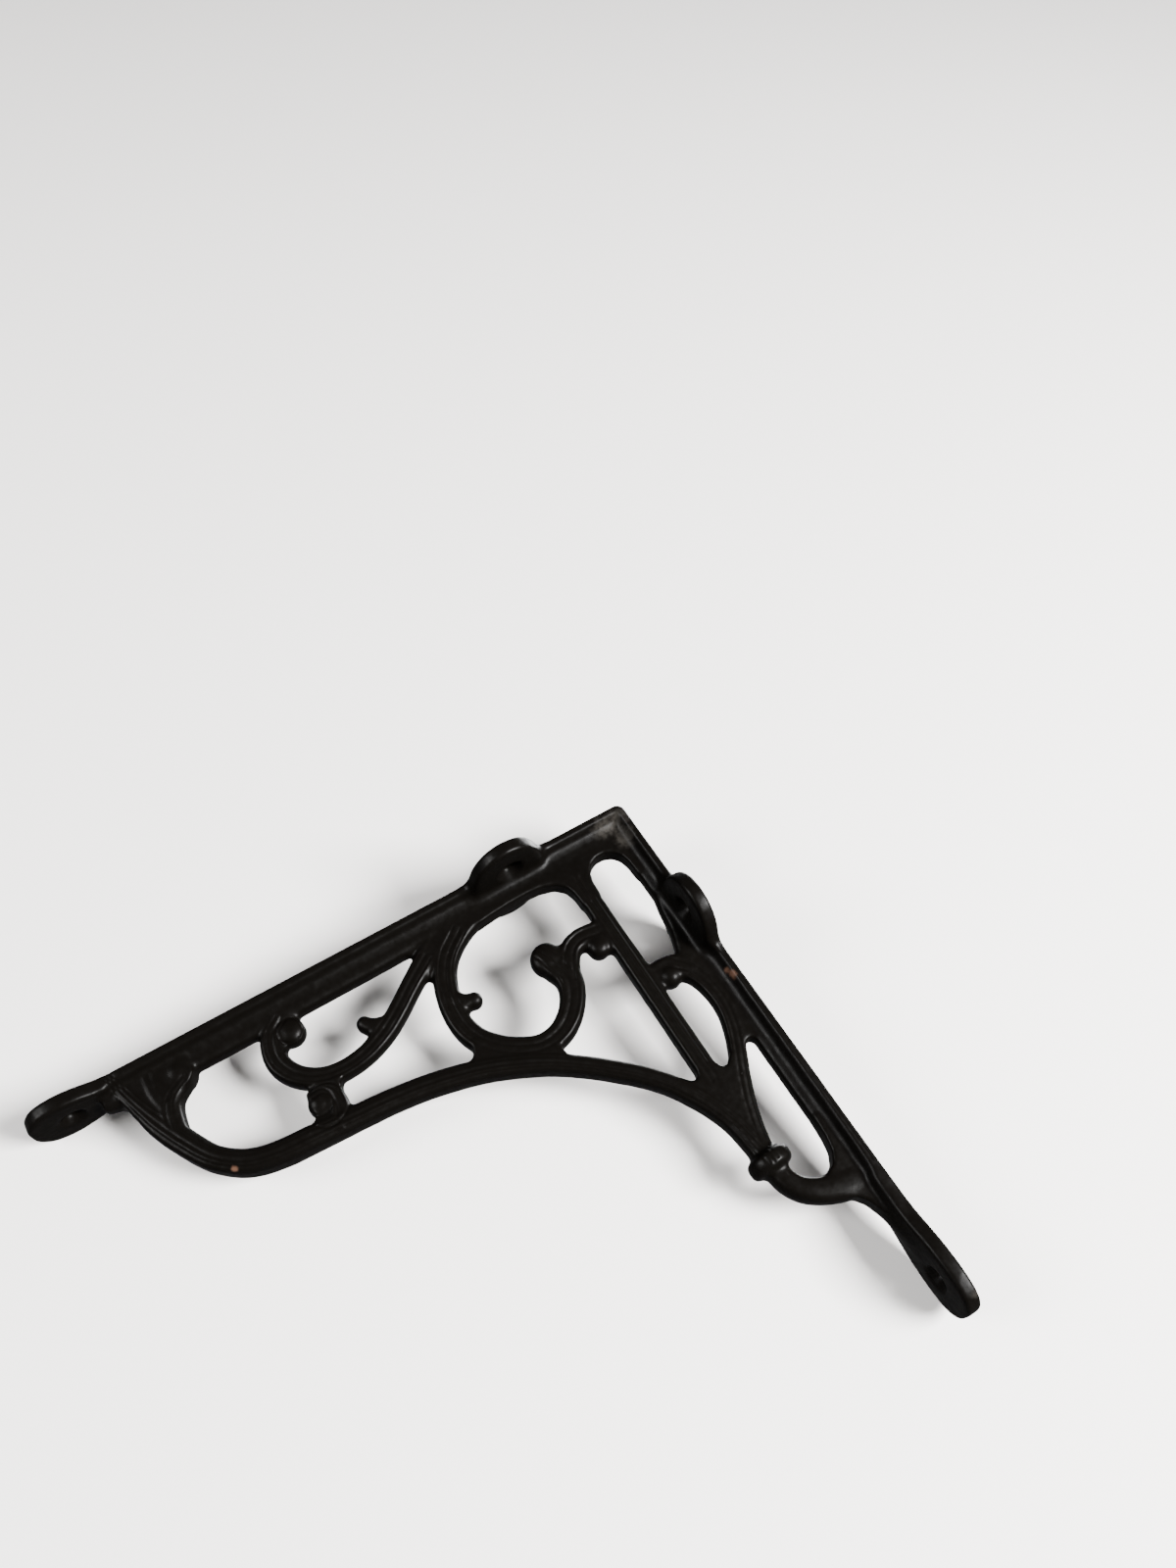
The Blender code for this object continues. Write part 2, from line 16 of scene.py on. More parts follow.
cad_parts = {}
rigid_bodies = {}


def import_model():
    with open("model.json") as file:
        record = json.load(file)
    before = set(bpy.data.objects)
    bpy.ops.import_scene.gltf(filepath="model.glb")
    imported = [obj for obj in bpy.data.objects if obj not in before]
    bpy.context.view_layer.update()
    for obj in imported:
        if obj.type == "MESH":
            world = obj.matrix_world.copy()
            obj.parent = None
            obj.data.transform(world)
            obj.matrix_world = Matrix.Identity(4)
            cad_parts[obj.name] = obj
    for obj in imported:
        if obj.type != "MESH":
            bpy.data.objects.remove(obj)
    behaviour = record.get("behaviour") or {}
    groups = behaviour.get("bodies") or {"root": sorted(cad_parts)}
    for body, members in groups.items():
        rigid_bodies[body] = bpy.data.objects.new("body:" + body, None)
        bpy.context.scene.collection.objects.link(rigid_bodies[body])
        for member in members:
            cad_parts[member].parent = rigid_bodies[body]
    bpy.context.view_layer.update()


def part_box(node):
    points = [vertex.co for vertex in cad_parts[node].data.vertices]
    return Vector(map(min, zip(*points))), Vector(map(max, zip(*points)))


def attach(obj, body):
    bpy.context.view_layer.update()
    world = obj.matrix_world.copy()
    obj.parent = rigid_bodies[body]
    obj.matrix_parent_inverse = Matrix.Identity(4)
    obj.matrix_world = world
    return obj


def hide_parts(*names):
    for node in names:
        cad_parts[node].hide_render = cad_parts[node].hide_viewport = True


bl_info = {
    "name": "Ornate cast iron shelf bracket",
    "version": (1, 0, 0),
    "blender": (4, 5, 0),
    "location": "3D View > Sidebar > Bracket",
    "description": "Models and paints an ornate cast iron shelf bracket round its packed solid",
    "category": "Object",
}

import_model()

METRES = 0.001              # one millimetre in metres
SHELF_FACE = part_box("bracket")[1].z / METRES       # height of the shelf face over the origin
PHOTO_HIGH = 1600           # the photograph's longer side in pixels
LENS_PIXELS = 1228.4        # focal length that fits the photograph
SENSOR = 36.0               # width of the camera's sensor
HOLE_ALONG = 189.5          # wall face to the shelf tongue's screw hole
HOLE_BELOW = 168.8          # shelf face to the wall tongue's screw hole
EAR_PLACE = 44.0            # corner to the ears' screw holes
EAR_HOLE_OUT = 9.7          # middle plane to the ears' screw holes
EAR_REACH = 21.4            # middle plane to the ears' ends
COLLAR_PLACE = (24.9, 119.7)

# Middle lines of brace, rail and scrolls: (along, below, width, half thickness)
OUTER_BAR = [
    (175.6, 1.6, 4.4, 3.6), (174.7, 4.6, 4.5, 4.2), (173.4, 8.6, 4.6, 4.4), (171.3, 14.1, 5.4, 4.4),
    (168.4, 20.5, 7.0, 4.4), (164.1, 28.8, 7.0, 4.4), (158.8, 37.0, 6.6, 4.6), (151.4, 42.6, 6.7, 4.7),
    (143.1, 45.0, 6.7, 4.8), (133.0, 45.9, 6.7, 4.8), (122.0, 46.8, 6.4, 4.5), (110.0, 47.8, 6.2, 4.2),
    (100.0, 49.2, 6.1, 4.1), (90.1, 51.4, 6.0, 4.1), (80.1, 54.5, 5.9, 4.1), (70.8, 58.7, 5.7, 4.1),
    (62.8, 63.2, 5.4, 4.1), (54.4, 69.3, 5.2, 4.1), (48.5, 74.3, 5.2, 4.1), (42.7, 79.6, 5.2, 4.1),
    (36.9, 86.3, 5.0, 4.1), (32.2, 94.1, 4.9, 4.0), (29.4, 100.0, 4.9, 3.9), (27.5, 105.5, 5.1, 3.8),
    (26.2, 111.5, 5.7, 3.8), (25.3, 118.5, 6.2, 3.7)]
RAIL = [
    (25.3, 11.0, 6.1, 1.6), (25.3, 17.0, 6.1, 2.6), (25.3, 26.0, 6.1, 3.1), (25.3, 60.0, 6.1, 3.1),
    (25.3, 90.0, 6.1, 3.1), (25.3, 116.0, 6.1, 3.1)]
TIP_CURL = [
    (166.0, 25.5, 7.0, 4.4), (165.2, 18.6, 6.8, 4.4), (162.8, 14.2, 5.6, 4.2), (158.8, 11.8, 4.6, 3.8)]
TIP_STEM = [
    (165.0, 18.0, 3.0, 4.4), (166.3, 11.2, 3.6, 4.7), (166.0, 4.6, 4.2, 4.4), (165.8, 1.6, 4.6, 4.0)]
LONG_SCROLL = [
    (61.0, 4.2, 6.0, 2.4), (66.0, 5.6, 6.6, 2.9), (73.5, 9.6, 6.8, 3.1), (81.2, 14.7, 6.6, 3.1),
    (88.3, 19.5, 6.0, 3.1), (94.6, 24.2, 5.9, 3.1), (101.2, 28.3, 5.9, 3.1), (108.2, 31.2, 5.5, 3.1),
    (115.0, 32.3, 5.3, 3.1), (121.0, 31.8, 5.4, 3.2), (126.0, 29.7, 5.7, 3.3), (130.0, 26.0, 6.1, 3.4),
    (132.3, 21.2, 6.5, 3.5), (132.3, 16.4, 6.5, 3.5), (130.7, 12.2, 6.2, 3.5), (127.6, 9.6, 5.4, 3.4)]
LONG_SPUR = [
    (97.0, 26.8, 5.6, 2.9), (100.6, 26.3, 5.6, 3.1), (103.4, 25.0, 4.8, 3.1), (105.2, 23.4, 4.2, 3.0)]
BIG_SCROLL = [
    (49.0, 7.0, 5.2, 2.2), (56.0, 7.6, 6.0, 2.8), (62.5, 9.4, 6.8, 3.1), (68.5, 12.2, 7.1, 3.1),
    (73.6, 16.2, 7.1, 3.1), (77.3, 21.4, 7.0, 3.1), (79.6, 27.6, 6.9, 3.1), (80.6, 34.0, 6.8, 3.1),
    (80.2, 40.0, 6.8, 3.1), (78.0, 45.6, 6.8, 3.2), (74.0, 50.4, 6.9, 3.3), (68.8, 54.2, 6.9, 3.3),
    (63.0, 56.5, 6.9, 3.3), (57.2, 56.1, 7.0, 3.3), (52.3, 53.6, 7.3, 3.3), (48.5, 49.8, 7.5, 3.3),
    (46.0, 45.4, 7.9, 3.4), (45.2, 40.8, 8.6, 3.5), (46.4, 36.6, 9.2, 3.7), (47.6, 33.0, 8.0, 3.6)]
BIG_SPUR = [
    (80.0, 25.6, 5.4, 2.9), (78.9, 29.6, 5.4, 3.2), (76.8, 32.2, 4.8, 3.2), (74.6, 33.0, 4.4, 3.0)]
RAIL_LEAF = [
    (45.2, 43.6, 6.6, 3.0), (42.7, 38.0, 6.6, 3.1), (39.6, 34.2, 6.4, 3.1), (35.6, 32.8, 6.4, 3.1),
    (31.6, 33.2, 6.6, 3.0), (28.6, 33.8, 6.6, 2.8), (25.6, 34.3, 6.6, 2.0)]
SIDE_SCROLL = [
    (25.0, 56.2, 7.6, 2.0), (21.8, 55.8, 7.9, 2.8), (18.6, 55.6, 8.0, 3.1), (14.8, 56.3, 7.6, 3.2),
    (12.0, 59.2, 6.2, 3.1), (10.3, 63.8, 5.1, 3.0), (9.4, 70.0, 4.7, 3.0), (9.7, 76.0, 4.7, 3.0),
    (11.3, 82.2, 4.9, 3.0), (14.0, 88.3, 5.0, 3.0), (17.3, 94.8, 5.0, 3.0), (20.2, 101.4, 5.0, 3.0),
    (22.5, 108.2, 5.0, 3.0), (24.2, 115.0, 5.2, 3.0)]
SIDE_SWELL = [
    (4.4, 20.0, 3.0, 2.2), (4.8, 30.0, 3.8, 2.7), (5.9, 38.0, 5.2, 3.0), (7.0, 46.0, 5.6, 3.0),
    (9.6, 54.5, 5.6, 3.0), (11.4, 60.0, 5.0, 2.9)]
TAIL = [
    (25.2, 117.5, 6.2, 3.8), (24.9, 122.4, 6.3, 3.9), (24.0, 126.6, 6.3, 4.0), (21.8, 130.4, 6.4, 4.0),
    (18.0, 133.3, 6.9, 4.0), (13.4, 135.1, 7.9, 3.9), (8.4, 136.2, 9.0, 3.7), (3.6, 136.6, 9.4, 3.5)]
TAIL_RIDGE = [
    (4.8, 137.0, 4.6, 2.6), (4.6, 145.3, 3.4, 2.2), (3.9, 153.3, 2.4, 1.6), (3.0, 160.3, 1.6, 0.8)]
BRACE_CURL = [
    (124.4, 47.0, 8.0, 4.1), (122.9, 43.6, 5.6, 4.2), (122.3, 40.4, 5.2, 4.2), (122.9, 37.4, 5.2, 4.1),
    (124.8, 35.6, 4.6, 3.9), (127.0, 35.6, 3.6, 3.7)]

# Strands that are crowned, without a flute
CROWNED = ("side_swell", "tail", "tail_ridge", "long_spur", "big_spur")

# The edge of the wall arm's flange, which has a fine line of its own
WALL_EDGE = [(1.3, 58.0, 2.2, 6.7), (1.3, 134.0, 2.2, 6.7)]

# Balls and rounded ends: (along, below, radius, half thickness)
KNOBS = {
    "long_scroll_end": (125.3, 13.7, 4.1, 3.8),
    "brace_curl_eye": (127.0, 38.2, 3.5, 4.3),
    "big_scroll_lobe": (47.6, 33.4, 5.2, 3.9),
    "rail_leaf_curl": (31.8, 38.2, 3.3, 3.7),
    "side_knot": (18.0, 58.0, 3.2, 3.9),
    "long_spur_tip": (105.4, 22.8, 2.2, 3.1),
    "big_spur_tip": (73.5, 33.3, 2.3, 3.0),
    "tip_leaf_top": (158.9, 8.4, 3.8, 4.6),
    "tip_leaf_foot": (158.4, 11.2, 2.6, 3.9)}

# Outlines of the webs that fill the crotches: (along, below)
CORNER_WEB = [
    (3, 3), (72, 3), (72, 10), (66, 11.6), (60, 12.2), (54, 11.5), (48, 11.1), (42, 11.0), (37, 11.4),
    (32.8, 12.8), (30.0, 15.3), (28.9, 18.8), (28.6, 23.5), (22.1, 23.5), (21.9, 18.4), (20.9, 15.0),
    (18.8, 12.4), (16.2, 11.3), (13.2, 11.3), (10.4, 12.5), (8.5, 14.9), (7.7, 18.4), (7.5, 23.5), (3, 23.5)]
TIP_WEB = [
    (154.4, 4), (176.2, 3.4), (176.2, 6.0), (175.2, 9.0), (174.2, 11.5), (170.8, 16), (168.0, 22),
    (164.4, 21), (162.6, 16.6), (160.2, 13.8), (156.4, 12.6), (154.6, 10.6)]
TIP_FILLET = [(172.0, 3.0), (180.0, 3.0), (178.2, 4.9), (176.8, 6.6), (175.9, 9.4), (172.0, 10.0)]
CURL_WEB = [
    (119.6, 47), (120.6, 43.0), (120.2, 38.6), (119.0, 34), (129.4, 34), (129.6, 38), (129.6, 42),
    (131.0, 44), (132, 47)]
SIDE_WEB = [
    (4.5, 48), (10.8, 52), (12.6, 56), (10.6, 62), (9.6, 70), (9.9, 77), (11.4, 83), (13.2, 88.4),
    (11.4, 88.0), (9.6, 86.7), (8.0, 86.9), (7.0, 88.6), (6.4, 91), (4.5, 91)]
FOOT_WEB = [
    (16.6, 88.2), (18.6, 90.2), (20.2, 90.7), (21.6, 89.8), (22.4, 87.6), (28.2, 87.2), (28.9, 89.2),
    (30.2, 89.8), (31.8, 88.8), (34.6, 85.4), (36.0, 88.0), (31.6, 95.6), (28.2, 103.5), (26.4, 111),
    (23.4, 111), (20.6, 103), (17.0, 95.5), (14.2, 89.5)]
BASE_WEB = [
    (58.8, 60.4), (63, 57), (70, 52.5), (76.5, 46.5), (80.4, 44.6), (81.3, 47.2), (82.2, 49.4),
    (83.9, 50.4), (87.0, 50.0), (87.0, 53.0), (76.0, 56.8), (66.0, 61.8), (60.6, 65.0), (58.5, 62.6)]
TAIL_WEB = [
    (3.5, 116), (7.0, 116), (7.3, 122), (8.2, 126.6), (10.2, 129.9), (13.4, 131.2), (13.4, 138.6),
    (9.8, 140.4), (7.7, 143.2), (6.4, 146.8), (5.0, 151.4), (3.5, 154.0)]

# The webs: (name, outline, what it is thicker or thinner than a plain web, on each face)
WEBS = (
    ("corner_web", CORNER_WEB, 0.3), ("tip_web", TIP_WEB, 1.3), ("tip_fillet", TIP_FILLET, -0.5),
    ("curl_web", CURL_WEB, 0.7), ("base_web", BASE_WEB, 0.6), ("foot_web", FOOT_WEB, 0.3),
    ("side_web", SIDE_WEB, 0.0), ("tail_web", TAIL_WEB, 0.6))

# Plan of each arm: (place along the arm, half width, thickness at the edge, rib). The rib is 1 where
# the full rib stands under the flange and 0 where the pad is flat.
EARS = [
    (66.0, 6.7, 2.5, 1.0), (60.6, 6.9, 2.6, 1.0), (57.9, 7.8, 3.2, 1.0), (56.4, 10.2, 4.1, 1.0),
    (55.2, 13.7, 4.3, 1.0), (53.0, 17.2, 4.3, 1.0), (49.4, 20.2, 4.3, 1.0), (44.6, EAR_REACH, 4.3, 1.0),
    (39.9, 20.4, 4.3, 1.0), (36.4, 17.5, 4.3, 1.0), (34.2, 13.9, 4.3, 1.0), (32.8, 10.3, 4.1, 1.0),
    (31.4, 7.8, 3.2, 1.0), (29.0, 6.9, 2.6, 1.0), (25.6, 6.7, 2.5, 1.0)]
SHELF_TONGUE = [
    (201.3, 2.6, 4.3, 0.0), (200.7, 4.8, 4.3, 0.0), (199.3, 7.2, 4.3, 0.0), (196.9, 9.3, 4.3, 0.0),
    (193.2, 10.4, 4.3, 0.0), (189.0, 10.4, 4.3, 0.0), (184.8, 9.4, 4.3, 0.0), (181.0, 7.9, 4.3, 0.0),
    (177.6, 7.0, 4.0, 0.15), (171.0, 6.8, 3.0, 1.0)]
WALL_TONGUE = [
    (180.5, 2.6, 4.3, 0.0), (180.0, 4.8, 4.3, 0.0), (178.6, 7.3, 4.3, 0.0), (176.2, 9.2, 4.3, 0.0),
    (172.4, 10.3, 4.3, 0.0), (167.2, 10.5, 4.3, 0.0), (161.6, 9.9, 4.3, 0.1), (156.4, 8.5, 4.3, 0.3),
    (151.6, 7.3, 4.3, 0.5), (146.6, 6.8, 4.2, 0.7), (139.0, 6.6, 3.9, 0.9), (129.0, 6.6, 2.8, 1.0)]

# Section of an arm's rib, from the hollow under the flange to the rib's crown. Every row starts with how
# far out of the rib's half thickness the place is.
COVE = ((2.2, 0.4), (1.1, 1.1))         # then its depth past the flange's edge
FLANK = ((0.2, 3.4, 2.2, 1.3), (0.0, 1.6, 2.8, 0.8))    # short of the crown, past the edge, least short
CROWN = ((-0.6, 0.4), (-1.5, 0.0))      # then its depth short of the crown
PAD_SHARES = (0.80, 0.64, 0.50, 0.38, 0.26, 0.14)       # the same places on a flat pad, as shares
FLAT_INSET = 0.1            # the flange's inner face starts this far in from its chamfer

# Half sections of the strands, from the side to the middle line, as (share of half width, share of
# half thickness). They repeat on all four quarters.
FLUTED = [(1.0, 0.0), (0.995, 0.32), (0.96, 0.60), (0.88, 0.80), (0.76, 0.93), (0.62, 1.0), (0.50, 0.97),
          (0.40, 0.88), (0.28, 0.85), (0.14, 0.91), (0.0, 0.94)]
STEPPED = [(1.0, 0.0), (0.985, 0.34), (0.97, 0.58), (0.90, 0.72), (0.78, 0.80), (0.64, 0.84), (0.54, 0.94),
           (0.44, 1.0), (0.28, 1.0), (0.12, 0.97), (0.0, 0.96)]
RAILED = [(1.0, 0.0), (1.0, 0.45), (0.97, 0.72), (0.88, 0.90), (0.74, 0.99), (0.56, 1.0), (0.40, 0.94),
          (0.29, 0.84), (0.18, 0.92), (0.08, 1.0), (0.0, 1.0)]
PLAIN = [(1.0, 0.0), (0.97, 0.4), (0.88, 0.7), (0.72, 0.88), (0.5, 0.96), (0.25, 0.99), (0.0, 1.0)]

# Fine lines: each strand that has them, and their places as shares of its half width
ENGRAVED = [
    (OUTER_BAR, (-0.62, -0.1, 0.42)), (BIG_SCROLL[3:], (-0.5, 0.12, 0.66)),
    (LONG_SCROLL[3:], (-0.66, -0.1, 0.5)), (SIDE_SCROLL[3:], (-0.3, 0.45)), (RAIL_LEAF[:-2], (-0.4, 0.4)),
    (BRACE_CURL, (-0.5, 0.3)), (RAIL[1:-1], (-0.3, 0.3)), (TIP_CURL, (-0.4, 0.2)), (WALL_EDGE, (0.0,))]
LINE_HALF = 0.5             # half width of a fine line
LINE_STEP = 0.5             # spacing of the places that the lines are measured from
LINE_FROM = 0.6             # the lines lie only on what stands out past this share of the half thickness

# Creases round the rounded ends: (along, below, radius)
CREASES = [KNOBS["long_scroll_end"][:3], (127.0, 38.2, 3.9), (125.8, 40.0, 6.6)]
CREASE_SHARE = 1.6          # a crease's depth as a share of a fine line's
CREASE_OUT = 2.4            # creases lie only on what stands out past this from the middle plane
CREASE_FROM = 112.0         # no crease is nearer to the wall than this

# Forms before they are cast
ARRIS = 0.5                 # small chamfer along the flange's edges
BUTTON = 0.58               # below 1, a ball's top and foot are flattened like a button
COLLAR_THICK = 5.0
COLLAR_ROUND = 1.8          # rounding of the collar's rims
DRILL_LONG = 20.0
CUT_PAST = 0.8              # how far the countersink's cone runs on past the pad
RING_STEP = 0.8             # spacing of the sections along strands and arms
CORNER_STEPS = 8            # sections round the outer corner
ROUND_STEPS = 6             # steps of the collar's rounding
DRILL_SIDES = 48
BALL_SIDES = 40
BALL_RINGS = 24
COLLAR_SIDES = 64
SEAM = 0.005                # corners closer than this are one corner

# Casting
KNIT = 2                    # smoothing passes after each new skin
SMOOTH_FACTOR = 0.5         # how far one pass moves a corner towards its neighbours
LUMP_SIZE = 4.5             # size of the sand mould's lumps
LUMP_DEPTH = 2              # levels of smaller lumps on them
MOST_TRIANGLES = 190000
PATTERN = "pattern"         # collection of the forms that are cast together

# Patches tinted on the paint: (along, below, out, reach)
# Brownish patches: a painted reflection on the brace's lower edge, rusted paint on the wall arm's flange
# edge
RUST_AND_REFLECTION_PATCHES = [(155.4, 43.4, 4.4, 1.8), (3.0, 68.8, 6.2, 2.6), (3.6, 66.6, 5.4, 2.0)]
# Grey patches: a painted highlight in the corner's cove, and a grey tint at the wall tongue's end
DUST_AND_HIGHLIGHT_PATCHES = [(4.4, 5.0, 5.4, 7.0), (9.5, 4.0, 4.6, 6.0), (4.5, 11.0, 4.6, 6.0), (1.2, 176.6, 8.0, 2.6)]
PATCH_LUMP_SIZE = 1.8             # lumps in the edges of the patches
PATCH_LUMP_DETAIL = 3.0
PATCH_FADE = (0.10, 0.46)    # a patch fades in between these values of its mask
DUST_AND_HIGHLIGHT_SHARE = 0.38           # how far the grey and brownish patches cover the paint
RUST_AND_REFLECTION_SHARE = 0.60

# Surface of the paint
GRAIN_SIZE = 1.6            # the casting's grain under the paint
GRAIN_DETAIL = 4.0
GRAIN_HEIGHT = 0.2
GRAIN_SHARE = 0.22          # how much of the grain shows through
NOISE_SPAN = (0.3, 0.7)     # nearly all of the noise lies between these values
ROUGHNESS = (0.28, 0.42)    # the paint's roughness over that span
REFRACTION = 1.5
SHEEN = 0.05                # specular level, low as the real paint hardly shines

# Stage. The camera's place is in metres, its directions and the lights' are unit lengths or shares.
CAMERA_AT = (0.1194, 0.3500, -0.0722)
CAMERA_RIGHT = Vector((-0.8509, 0.0174, -0.5250))
CAMERA_UP = Vector((-0.4416, 0.5178, 0.7328))
CAMERA_BACK = Vector((0.2846, 0.8553, -0.4329))
AIM = (95.0, 75.0)          # where the lights look, as (along, below)
TONGUE_REST = (191.0, 2.0, -10.4)       # the shelf tongue's edge, which lies on the floor with the ears
EAR_REST = 2.0              # depth of the ears' lowest places under the flat faces
FLOOR_GAP = 0.3             # the floor lies this far below them
FLOOR_SIZE = 4000.0
FLOOR_COLOUR = "#fbf8f5"
FLOOR_ROUGHNESS = 0.8
BACKDROP_RADIUS = 6000.0
BACKDROP_SIDES = 64
BACKDROP_COLOUR = "#e4e4e5"
GLOW = 0.8                  # strength of the backdrop
SKY_COLOUR = "#e6e6e8"
SKY = 0.22                  # strength of the even light from all sides
CLIP_START = 0.01           # m

# Lights: (name, direction from the aim, distance in m, size in m, power in W)
LIGHTS = (
    ("key", CAMERA_RIGHT * 1.0 + CAMERA_UP * 0.35 + CAMERA_BACK * 0.80, 1.2, 0.50, 84.0),
    ("fill", CAMERA_UP * 0.3 - CAMERA_RIGHT * 1.0 + CAMERA_BACK * 0.8, 1.4, 0.6, 30.0),
    ("rear", Vector((-0.8, -0.45, 0.5)), 1.2, 0.7, 30.0))


def linear(colour):
    """An sRGB hex colour as linear red, green, blue and alpha."""
    values = [int(colour[k:k + 2], 16) / 255 for k in (1, 3, 5)]
    return [v / 12.92 if v <= 0.04045 else ((v + 0.055) / 1.055) ** 2.4 for v in values] + [1.0]


class CastingSizes(bpy.types.PropertyGroup):
    """Sizes of the casting that a user may change."""

    flange_half: FloatProperty(
        name="Flange half width", description="Half width of both flat outer flanges",
        default=0.0067, unit="LENGTH")
    flange_edge: FloatProperty(
        name="Flange edge", description="Thickness of the flange at its edge",
        default=0.0025, unit="LENGTH")
    shelf_rib: FloatProperty(
        name="Shelf arm depth", description="Flange and rib of the shelf arm together",
        default=0.0094, unit="LENGTH")
    wall_rib: FloatProperty(
        name="Wall arm depth", description="Flange and rib of the wall arm together",
        default=0.0073, unit="LENGTH")
    rib_half: FloatProperty(
        name="Rib half thickness", description="Half thickness of the rib under the flange",
        default=0.0031, unit="LENGTH")
    corner_round: FloatProperty(
        name="Corner rounding", description="Rounding of the outer corner",
        default=0.0025, unit="LENGTH")
    pad_thick: FloatProperty(
        name="Pad thickness", description="Thickness of tongues and ears", default=0.0043, unit="LENGTH")
    hole_radius: FloatProperty(
        name="Hole radius", description="Radius of the screw holes", default=0.0024, unit="LENGTH")
    sink_radius: FloatProperty(
        name="Countersink radius", description="Radius of the countersinks at their mouth",
        default=0.0044, unit="LENGTH")
    web_half: FloatProperty(
        name="Web half thickness", description="Half thickness of the webs in the crotches",
        default=0.0027, unit="LENGTH")
    collar_radius: FloatProperty(
        name="Collar radius", description="Radius of the ring where the scrolls meet",
        default=0.0065, unit="LENGTH")
    grain: FloatProperty(
        name="Mesh grain", description="Size of the mesh's cells when the forms are cast together",
        default=0.0004, unit="LENGTH")
    fillet: FloatProperty(
        name="Fillet", description="Radius of the fillets in the inner corners",
        default=0.0011, unit="LENGTH")
    skin: FloatProperty(
        name="Paint and scale", description="What the surface stands out past the forms it is cast from",
        default=0.00028, unit="LENGTH")
    waviness: FloatProperty(
        name="Waviness", description="Height of the soft lumps that the sand mould leaves",
        default=0.00016, unit="LENGTH")
    groove: FloatProperty(
        name="Groove depth", description="Depth of the fine lines along the scrolls",
        default=0.00028, unit="LENGTH")
    softening: IntProperty(
        name="Softening", description="Passes that round the edges and fill the corners, as casting does",
        default=4, min=0, max=30)


class PaintColours(bpy.types.PropertyGroup):
    """Colours of the finish that a user may change."""

    paint: FloatVectorProperty(
        name="Paint", description="Satin black paint", subtype="COLOR", size=3, min=0, max=1,
        default=linear("#060504")[:3])
    # Brownish tint: a painted reflection on the brace's lower edge, rusted paint on the wall arm's flange
    # edge
    rust_and_reflection: FloatVectorProperty(
        name="Rust", description="Rust where the paint is rubbed through", subtype="COLOR", size=3,
        min=0, max=1, default=linear("#5a4134")[:3])
    # Grey tint: a painted highlight in the corner's cove, and a grey tint at the wall tongue's end
    dust_and_highlight: FloatVectorProperty(
        name="Dust", description="Grey dust that stays near the corner", subtype="COLOR", size=3,
        min=0, max=1, default=linear("#3b3834")[:3])


def in_mm(name):
    """A size of the casting in mm."""
    return getattr(bpy.context.scene.bracket_sizes, name) / METRES


def place(along, below, out=0.0):
    """A place on the casting, in metres in the CAD's frame."""
    return Vector((along, out, SHELF_FACE - below)) * METRES


def deselect_all():
    for item in bpy.context.selected_objects:
        item.select_set(False)


def choose(item):
    """Makes one object the selected and active one."""
    deselect_all()
    item.select_set(True)
    bpy.context.view_layer.objects.active = item


def pattern_collection():
    group = bpy.data.collections.get(PATTERN)
    if group is None:
        group = bpy.data.collections.new(PATTERN)
        bpy.context.scene.collection.children.link(group)
    return group


def into_pattern(item):
    """Moves an object that an operator made into the pattern's collection."""
    for group in list(item.users_collection):
        group.objects.unlink(item)
    pattern_collection().objects.link(item)
    return item


def apply_place(item):
    choose(item)
    bpy.ops.object.transform_apply(location=True, rotation=True, scale=True)


def smooth_through(points, spacing):
    """Samples of a Catmull-Rom curve through the points, which may have any number of values each."""
    samples = []
    last = len(points) - 1
    for k in range(last):
        p0, p1, p2, p3 = points[max(k - 1, 0)], points[k], points[k + 1], points[min(k + 2, last)]
        steps = max(1, round(math.hypot(p2[0] - p1[0], p2[1] - p1[1]) / spacing))
        for s in range(steps):
            t = s / steps
            samples.append([0.5 * (2 * b + (c - a) * t + (2 * a - 5 * b + 4 * c - d) * t * t
                                   + (3 * b - a - 3 * c + d) * t ** 3)
                            for a, b, c, d in zip(p0, p1, p2, p3)])
    samples.append(list(points[last]))
    return samples


def loft(name, rings):
    """A closed form over rings of places with the same number of corners."""
    form = bmesh.new()
    loops = [[form.verts.new(corner) for corner in ring] for ring in rings]
    count = len(loops[0])
    for lower, upper in zip(loops, loops[1:]):
        for k in range(count):
            form.faces.new((lower[k], lower[(k + 1) % count], upper[(k + 1) % count], upper[k]))
    form.faces.new(list(reversed(loops[0])))
    form.faces.new(loops[-1])
    bmesh.ops.remove_doubles(form, verts=form.verts, dist=SEAM * METRES)
    bmesh.ops.recalc_face_normals(form, faces=form.faces)
    mesh = bpy.data.meshes.new(name)
    form.to_mesh(mesh)
    form.free()
    item = bpy.data.objects.new(name, mesh)
    pattern_collection().objects.link(item)
    return item


def whole_section(quarter):
    """A section over all four quarters from its first quarter."""
    upper = quarter + [(-a, b) for a, b in reversed(quarter[:-1])]
    return upper + [(-a, -b) for a, b in upper[1:-1]]


def strand(name, points, quarter=FLUTED):
    """A bar along a smooth line. Its width and thickness change on their own, which a bevelled
    curve can't do, so it is lofted."""
    line = smooth_through(points, RING_STEP)
    section = whole_section(quarter)
    rings = []
    for k, (along, below, width, half) in enumerate(line):
        a = line[max(k - 1, 0)]
        b = line[min(k + 1, len(line) - 1)]
        run = Vector((b[0] - a[0], b[1] - a[1])).normalized()
        rings.append([place(along - run.y * side * width / 2, below + run.x * side * width / 2, face * half)
                      for side, face in section])
    loft(name, rings)


def knob(name, along, below, radius, half):
    """A ball flattened or drawn out across the casting."""
    deselect_all()
    bpy.ops.mesh.primitive_uv_sphere_add(
        segments=BALL_SIDES, ring_count=BALL_RINGS, radius=1.0, location=place(along, below))
    ball = into_pattern(bpy.context.active_object)
    ball.name = name
    ball.scale = (radius * METRES, half * METRES, radius * METRES)
    apply_place(ball)
    for corner in ball.data.vertices:
        share = corner.co.y / (half * METRES)
        corner.co.y = math.copysign(abs(share) ** BUTTON, share) * half * METRES


